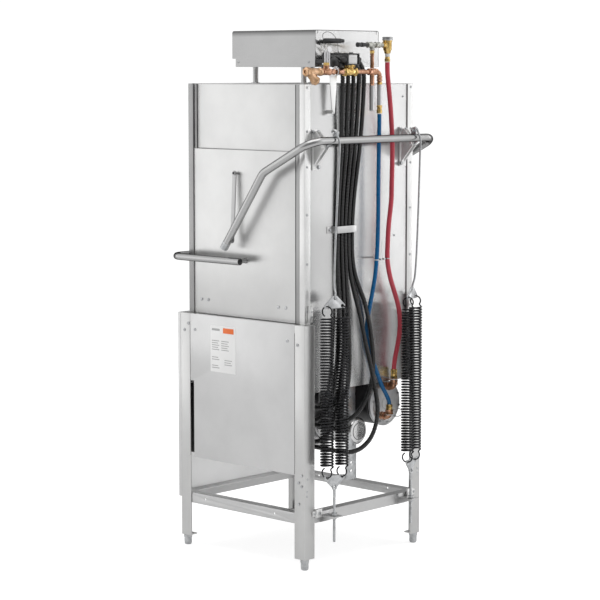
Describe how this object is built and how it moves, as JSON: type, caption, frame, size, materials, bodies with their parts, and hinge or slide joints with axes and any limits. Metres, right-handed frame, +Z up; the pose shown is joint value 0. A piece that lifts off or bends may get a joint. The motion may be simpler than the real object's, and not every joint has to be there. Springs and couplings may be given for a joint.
{
  "type": "commercial dishwasher",
  "caption": "Door-type commercial dishwasher: a wash tank on adjustable feet under a square hood whose three doors rise together on a spring-balanced lift arm.",
  "frame": {"origin": "bottom centre of the whole object's bounding box, on the floor", "axes": "+Z up, the operator stands at -Y and +X is the operator's right"},
  "size_m": [0.693, 0.7374, 1.884],
  "materials": {
    "stainless_panel": "brushed",
    "stainless_tube": "satin",
    "zinc_steel": "zinc plated, satin",
    "spring_steel": "oiled black",
    "black_plastic": "matte",
    "black_paint": "satin",
    "grey_paint": "satin",
    "copper": "tarnished copper",
    "brass": "cast brass, satin",
    "red_hose": "satin",
    "blue_hose": "satin",
    "conduit": "ribbed, satin",
    "green_button": "gloss"
  },
  "bodies": {
    "machine": {"leg_front_right": "stainless_panel", "post_front_right": "stainless_panel", "leg_front_left": "stainless_panel", "post_front_left": "stainless_panel", "leg_rear_right": "stainless_panel", "post_rear_right": "stainless_panel", "leg_rear_left": "stainless_panel", "post_rear_left": "stainless_panel", "lower_frame": "stainless_panel", "side_skirt_right": "stainless_panel", "side_skirt_left": "stainless_panel", "front_apron": "stainless_panel", "wash_tank": "stainless_panel", "rear_wall": "stainless_panel", "hood_top": "stainless_panel", "upper_panel_right": "stainless_panel", "upper_panel_left": "stainless_panel", "control_box_cover": "stainless_panel", "control_box_base": "stainless_panel", "rack_track": "stainless_tube", "pivot_bracket_right": "zinc_steel", "spring_anchor_right": "zinc_steel", "spring_outer_right": "spring_steel", "spring_inner_right": "spring_steel", "pivot_bracket_left": "zinc_steel", "spring_anchor_left": "zinc_steel", "spring_outer_left": "spring_steel", "spring_inner_left": "spring_steel", "inlet_manifold": "copper", "vacuum_breaker": "brass", "booster_tank": "black_paint", "pump_motor": "grey_paint", "electric_box": "black_paint", "red_hose": "red_hose", "blue_hose": "blue_hose", "conduit_1": "conduit", "conduit_2": "conduit", "conduit_3": "conduit", "conduit_4": "conduit", "conduit_5": "conduit"},
    "doors": {"door_right": "stainless_panel", "door_left": "stainless_panel", "door_front": "stainless_panel", "door_handle": "stainless_tube"},
    "lift_arm": {"lift_arm": "stainless_tube"},
    "door_link_right": {"door_link_right": "zinc_steel"},
    "door_link_left": {"door_link_left": "zinc_steel"},
    "spring_hanger_right": {"spring_hanger_right": "zinc_steel"},
    "spring_hanger_left": {"spring_hanger_left": "zinc_steel"},
    "lower_wash_arm": {"lower_wash_arm": "stainless_panel"},
    "lower_rinse_arm": {"lower_rinse_arm": "stainless_tube"},
    "upper_wash_arm": {"upper_wash_arm": "stainless_panel"},
    "upper_rinse_arm": {"upper_rinse_arm": "stainless_tube"},
    "pump_impeller": {"pump_impeller": "zinc_steel"},
    "power_switch": {"power_switch": "black_plastic"},
    "start_button": {"start_button": "green_button"},
    "foot_front_right": {"foot_front_right": "zinc_steel"},
    "foot_front_left": {"foot_front_left": "zinc_steel"},
    "foot_rear_right": {"foot_rear_right": "zinc_steel"},
    "foot_rear_left": {"foot_rear_left": "zinc_steel"}
  },
  "joints": [
    {"name": "door_lift", "type": "slide", "parent": "machine", "child": "doors", "axis": [0, 0, 1], "range_m": [0, 0.48], "deforming": ["spring_outer_right", "spring_inner_right", "spring_outer_left", "spring_inner_left"]},
    {"name": "lift_arm_pivot", "type": "hinge", "parent": "machine", "child": "lift_arm", "pos_m": [0, 0.3118, 1.486], "axis": [-1, 0, 0], "range_deg": [0, 60.95]},
    {"name": "door_link_right_pivot", "type": "hinge", "parent": "doors", "child": "door_link_right", "pos_m": [0.31, -0.0642, 1.381], "axis": [-1, 0, 0], "range_deg": [0, 26.85]},
    {"name": "door_link_left_pivot", "type": "hinge", "parent": "doors", "child": "door_link_left", "pos_m": [-0.31, -0.0642, 1.381], "axis": [-1, 0, 0], "range_deg": [0, 26.85]},
    {"name": "spring_hanger_right_swing", "type": "hinge", "parent": "lift_arm", "child": "spring_hanger_right", "pos_m": [0.208, 0.3398, 1.529], "axis": [1, 0, 0], "range_deg": [0, 58.75]},
    {"name": "spring_hanger_left_swing", "type": "hinge", "parent": "lift_arm", "child": "spring_hanger_left", "pos_m": [-0.208, 0.3398, 1.529], "axis": [1, 0, 0], "range_deg": [0, 58.75]},
    {"name": "lower_wash_arm_spin", "type": "hinge", "parent": "machine", "child": "lower_wash_arm", "pos_m": [0, -0.0202, 0.824], "axis": [0, 0, 1], "continuous": true},
    {"name": "lower_rinse_arm_spin", "type": "hinge", "parent": "machine", "child": "lower_rinse_arm", "pos_m": [0, -0.0202, 0.844], "axis": [0, 0, 1], "continuous": true},
    {"name": "upper_wash_arm_spin", "type": "hinge", "parent": "machine", "child": "upper_wash_arm", "pos_m": [0, -0.0202, 1.644], "axis": [0, 0, 1], "continuous": true},
    {"name": "upper_rinse_arm_spin", "type": "hinge", "parent": "machine", "child": "upper_rinse_arm", "pos_m": [0, -0.0202, 1.62], "axis": [0, 0, 1], "continuous": true},
    {"name": "pump_spin", "type": "hinge", "parent": "machine", "child": "pump_impeller", "pos_m": [-0.041, 0.0298, 0.445], "axis": [0, 1, 0], "continuous": true},
    {"name": "power_rocker", "type": "hinge", "parent": "machine", "child": "power_switch", "pos_m": [-0.06, -0.1972, 1.83], "axis": [1, 0, 0], "range_deg": [0, 12]},
    {"name": "start_press", "type": "slide", "parent": "machine", "child": "start_button", "axis": [0, 1, 0], "range_m": [0, 0.004], "stiffness_N_per_m": 600, "springref_m": -0.002},
    {"name": "foot_front_right_height", "type": "slide", "parent": "machine", "child": "foot_front_right", "axis": [0, 0, -1], "range_m": [0, 0.025]},
    {"name": "foot_front_left_height", "type": "slide", "parent": "machine", "child": "foot_front_left", "axis": [0, 0, -1], "range_m": [0, 0.025]},
    {"name": "foot_rear_right_height", "type": "slide", "parent": "machine", "child": "foot_rear_right", "axis": [0, 0, -1], "range_m": [0, 0.025]},
    {"name": "foot_rear_left_height", "type": "slide", "parent": "machine", "child": "foot_rear_left", "axis": [0, 0, -1], "range_m": [0, 0.025]}
  ],
  "couplings": [
    {"joint": "lift_arm_pivot", "follows": "door_lift", "rad_per_m": 2.2144},
    {"joint": "door_link_right_pivot", "follows": "door_lift", "rad_per_m": 0.9752},
    {"joint": "door_link_left_pivot", "follows": "door_lift", "rad_per_m": 0.9752},
    {"joint": "spring_hanger_right_swing", "follows": "door_lift", "rad_per_m": 2.1344},
    {"joint": "spring_hanger_left_swing", "follows": "door_lift", "rad_per_m": 2.1344}
  ]
}
